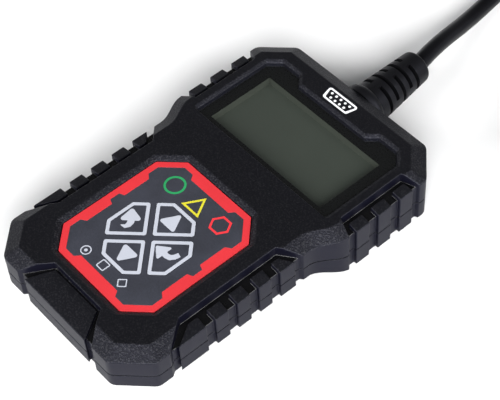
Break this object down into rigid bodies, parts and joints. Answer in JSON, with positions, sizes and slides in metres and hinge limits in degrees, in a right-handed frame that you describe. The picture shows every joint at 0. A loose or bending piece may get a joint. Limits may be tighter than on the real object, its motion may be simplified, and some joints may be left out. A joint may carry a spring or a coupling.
{
  "type": "obd code reader",
  "caption": "Hand-held vehicle fault code reader with a tinted display, an eight-sided keypad, ribbed side grips and a cable that ends in a diagnostic plug.",
  "frame": {"origin": "middle of the housing's footprint, on the surface it rests on (the cable, its coil and its plug are not counted)", "axes": "+Y towards the cable end, +Z out of the screen and keys, +X to the right when the screen is read"},
  "size_m": [0.1353, 0.3176, 0.024],
  "materials": {
    "black_case": "fine-textured moulded black plastic",
    "black_plastic": "smooth black plastic",
    "display_lens": "glossy tinted window",
    "lens_mask": "black print behind the window",
    "lcd_grey": "grey-green moulded surround",
    "lcd_glass": "unlit grey-green liquid crystal panel",
    "white_plastic": "white plastic",
    "red_overlay": "red textured film",
    "slate_overlay": "dark slate textured film",
    "slate_key": "dark slate textured film with pale print",
    "green_window": "green indicator ring",
    "yellow_window": "yellow indicator triangle",
    "red_window": "red indicator hexagon",
    "clear_plastic": "clear moulded plastic",
    "circuit_board": "green solder-masked board",
    "steel": "plated steel",
    "foot_rubber": "black rubber",
    "label_film": "blank silver label film",
    "relief_rubber": "soft black moulded rubber",
    "cable_jacket": "black flexible jacket",
    "tie_strap": "black strap",
    "contact_brass": "plated contact blades"
  },
  "bodies": {
    "housing": {"top_shell": "black_case", "bottom_shell": "black_case", "display_lens": "display_lens", "lens_mask": "lens_mask", "lcd_frame": "lcd_grey", "lcd_glass": "lcd_glass", "lcd_backlight": "white_plastic", "lcd_supports": "black_plastic", "keypad_frame": "red_overlay", "keypad_panel": "slate_overlay", "tact_switches": "steel", "indicator_green": "green_window", "indicator_yellow": "yellow_window", "indicator_red": "red_window", "light_pipes": "clear_plastic", "status_leds": "white_plastic", "main_board": "circuit_board", "main_chips": "black_plastic", "power_parts": "black_plastic", "buzzer": "black_plastic", "cable_header": "white_plastic", "cable_core": "cable_jacket", "case_screws": "steel", "board_screws": "steel", "front_feet": "foot_rubber", "rear_feet": "foot_rubber", "rear_label": "label_film", "strain_relief": "relief_rubber", "cable_lead": "cable_jacket", "cable_coil": "cable_jacket", "cable_tail": "cable_jacket", "cable_tie": "tie_strap", "plug_relief": "relief_rubber", "plug_upper_shell": "black_case", "plug_lower_shell": "black_case", "plug_shroud": "black_plastic", "plug_pins": "contact_brass", "plug_board": "circuit_board", "plug_screws": "steel"},
    "key_up": {"key_up": "slate_key", "switch_button_up": "black_plastic"},
    "key_down": {"key_down": "slate_key", "switch_button_down": "black_plastic"},
    "key_back": {"key_back": "slate_key", "switch_button_back": "black_plastic"},
    "key_enter": {"key_enter": "slate_key", "switch_button_enter": "black_plastic"}
  },
  "joints": [
    {"name": "press_up", "type": "slide", "parent": "housing", "child": "key_up", "axis": [0, 0, -1], "range_m": [0, 0.00035], "stiffness_N_per_m": 1500, "springref_m": -0.0006},
    {"name": "press_down", "type": "slide", "parent": "housing", "child": "key_down", "axis": [0, 0, -1], "range_m": [0, 0.00035], "stiffness_N_per_m": 1500, "springref_m": -0.0006},
    {"name": "press_back", "type": "slide", "parent": "housing", "child": "key_back", "axis": [0, 0, -1], "range_m": [0, 0.00035], "stiffness_N_per_m": 1500, "springref_m": -0.0006},
    {"name": "press_enter", "type": "slide", "parent": "housing", "child": "key_enter", "axis": [0, 0, -1], "range_m": [0, 0.00035], "stiffness_N_per_m": 1500, "springref_m": -0.0006}
  ]
}
